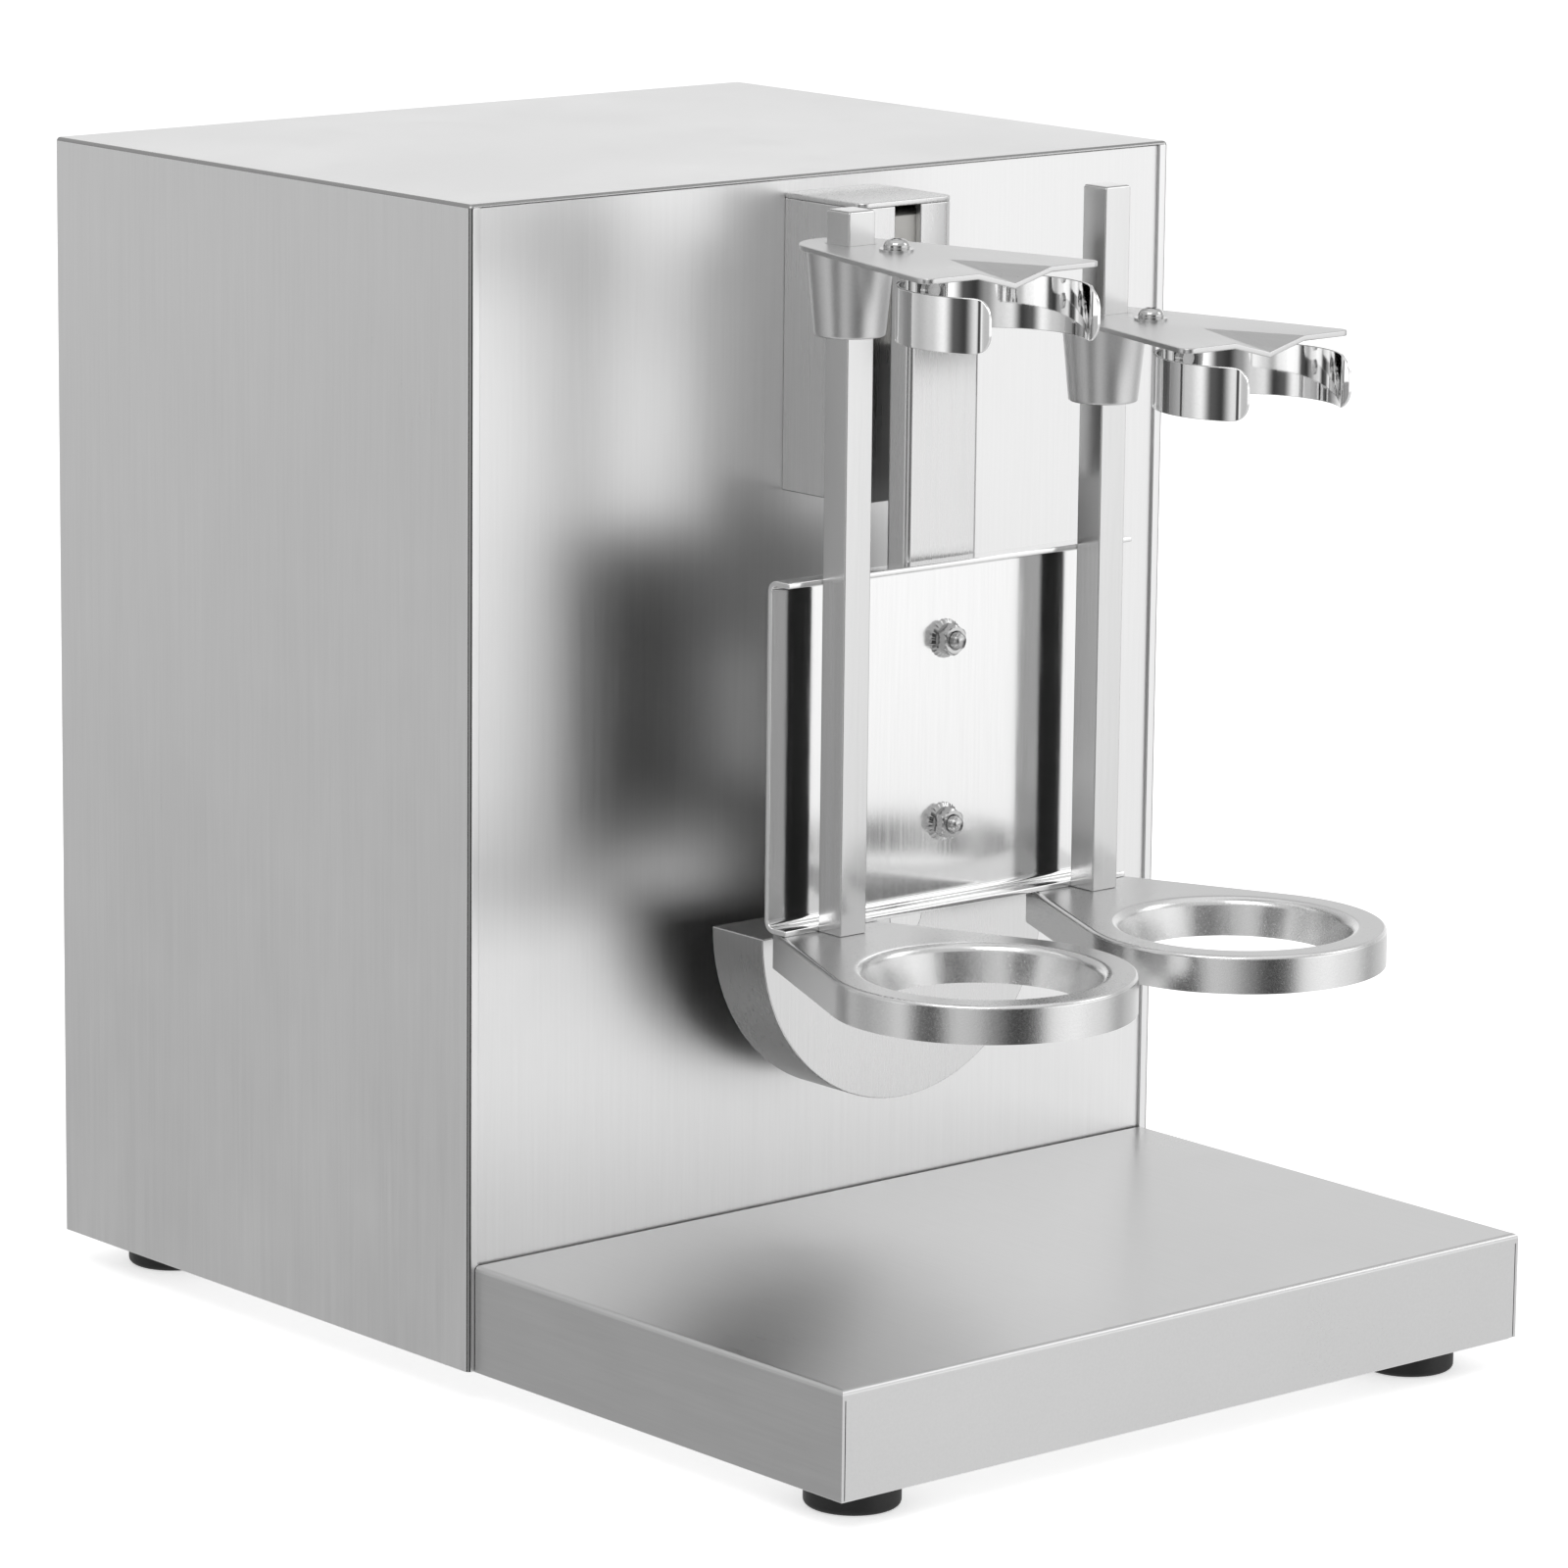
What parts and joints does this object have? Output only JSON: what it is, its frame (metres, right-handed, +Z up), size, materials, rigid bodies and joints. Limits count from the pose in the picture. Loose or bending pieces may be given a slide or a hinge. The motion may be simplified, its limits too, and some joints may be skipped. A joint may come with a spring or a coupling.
{
  "type": "cup shaker machine",
  "caption": "Free-standing stainless cup shaking machine: box cabinet with spill tray, crank-driven frame with cup rings below and sliding spring clamps above.",
  "frame": {"origin": "middle of the whole machine's floor print, on the plane the rubber feet stand on", "axes": "+Z up, -Y towards the user and the spill tray, +X to the right as seen from the front"},
  "size_m": [0.332, 0.4728, 0.431],
  "materials": {
    "satin_steel": "fine vertical brushed stainless steel",
    "tray_steel": "near-mirror stainless steel",
    "bright_steel": "polished stainless steel",
    "spring_chrome": "mirror chromed spring steel",
    "cast_alloy": "satin cast aluminium alloy",
    "guide_steel": "plain satin steel",
    "bearing_steel": "ground bearing steel",
    "plated_steel": "bright plated fasteners",
    "black_rubber": "matt black rubber",
    "nylon": "natural nylon",
    "pulley_alloy": "turned aluminium",
    "motor_paint": "dark grey enamel",
    "black_plastic": "moulded black plastic",
    "red_plastic": "glossy red plastic",
    "green_plastic": "glossy green plastic",
    "board_green": "lacquered circuit board"
  },
  "bodies": {
    "cabinet": {"base_pan": "satin_steel", "rubber_feet": "black_rubber", "foot_screws": "plated_steel", "cover_shell": "satin_steel", "front_panel": "satin_steel", "shaft_seal": "nylon", "rear_panel": "satin_steel", "rear_panel_screws": "plated_steel", "spill_tray": "tray_steel", "slide_guide": "guide_steel", "guide_cap": "guide_steel", "drive_belt": "black_rubber", "motor_body": "motor_paint", "motor_bracket": "guide_steel", "drive_plate": "guide_steel", "bearing_housing": "pulley_alloy", "front_bearing": "bearing_steel", "rear_bearing": "bearing_steel", "power_inlet": "black_plastic", "switch_housing": "black_plastic", "button_housing": "black_plastic", "button_spring": "plated_steel", "speed_control": "black_plastic", "control_board": "board_green", "board_posts": "plated_steel", "terminal_block": "black_plastic"},
    "crank": {"counterweight": "cast_alloy", "crank_pin": "bearing_steel", "crank_shaft": "bearing_steel", "driven_pulley": "pulley_alloy"},
    "motor_rotor": {"motor_pulley": "pulley_alloy", "motor_shaft": "bearing_steel"},
    "carriage": {"slider_block": "nylon", "slider_neck": "nylon", "carriage_arm": "bright_steel", "frame_plate": "bright_steel", "plate_bolts": "plated_steel", "plate_nuts": "plated_steel", "rod_screws": "plated_steel", "wrist_pin": "bearing_steel", "rod_left": "bright_steel", "rod_right": "bright_steel", "cup_ring_left": "cast_alloy", "cup_ring_right": "cast_alloy"},
    "link": {"connecting_link": "guide_steel"},
    "clamp_left": {"clamp_plate_left": "bright_steel", "clamp_bush_left": "cast_alloy", "clamp_liner_left": "nylon", "clip_strap_left": "bright_steel", "spring_clip_left": "spring_chrome", "clamp_fasteners_left": "plated_steel"},
    "clamp_right": {"clamp_plate_right": "bright_steel", "clamp_bush_right": "cast_alloy", "clamp_liner_right": "nylon", "clip_strap_right": "bright_steel", "spring_clip_right": "spring_chrome", "clamp_fasteners_right": "plated_steel"},
    "switch_rocker": {"switch_rocker": "red_plastic"},
    "speed_knob": {"speed_knob": "black_plastic"},
    "start_button": {"start_button": "green_plastic"}
  },
  "joints": [
    {"name": "crank_spin", "type": "hinge", "parent": "cabinet", "child": "crank", "pos_m": [0, -0.0594, 0.165], "axis": [0, 1, 0], "continuous": true},
    {"name": "motor_spin", "type": "hinge", "parent": "cabinet", "child": "motor_rotor", "pos_m": [0, 0.0616, 0.064], "axis": [0, 1, 0], "continuous": true},
    {"name": "carriage_slide", "type": "slide", "parent": "cabinet", "child": "carriage", "axis": [0, 0, 1], "range_m": [-0.044, 0]},
    {"name": "link_swing", "type": "hinge", "parent": "carriage", "child": "link", "pos_m": [0, -0.0759, 0.243], "axis": [0, 1, 0], "range_deg": [-23, 23]},
    {"name": "clamp_left_slide", "type": "slide", "parent": "carriage", "child": "clamp_left", "axis": [0, 0, 1], "range_m": [-0.08, 0.01]},
    {"name": "clamp_right_slide", "type": "slide", "parent": "carriage", "child": "clamp_right", "axis": [0, 0, 1], "range_m": [-0.046, 0.044]},
    {"name": "switch_tilt", "type": "hinge", "parent": "cabinet", "child": "switch_rocker", "pos_m": [0.108, 0.2174, 0.118], "axis": [1, 0, 0], "range_deg": [-8, 8]},
    {"name": "speed_turn", "type": "hinge", "parent": "cabinet", "child": "speed_knob", "pos_m": [0.108, 0.2214, 0.224], "axis": [0, 1, 0], "range_deg": [-135, 135]},
    {"name": "start_press", "type": "slide", "parent": "cabinet", "child": "start_button", "axis": [0, 1, 0], "range_m": [-0.0025, 0], "stiffness_N_per_m": 600, "springref_m": 0.002, "deforming": ["button_spring"]}
  ],
  "couplings": [
    {"joint": "motor_spin", "follows": "crank_spin", "ratio": 3}
  ]
}
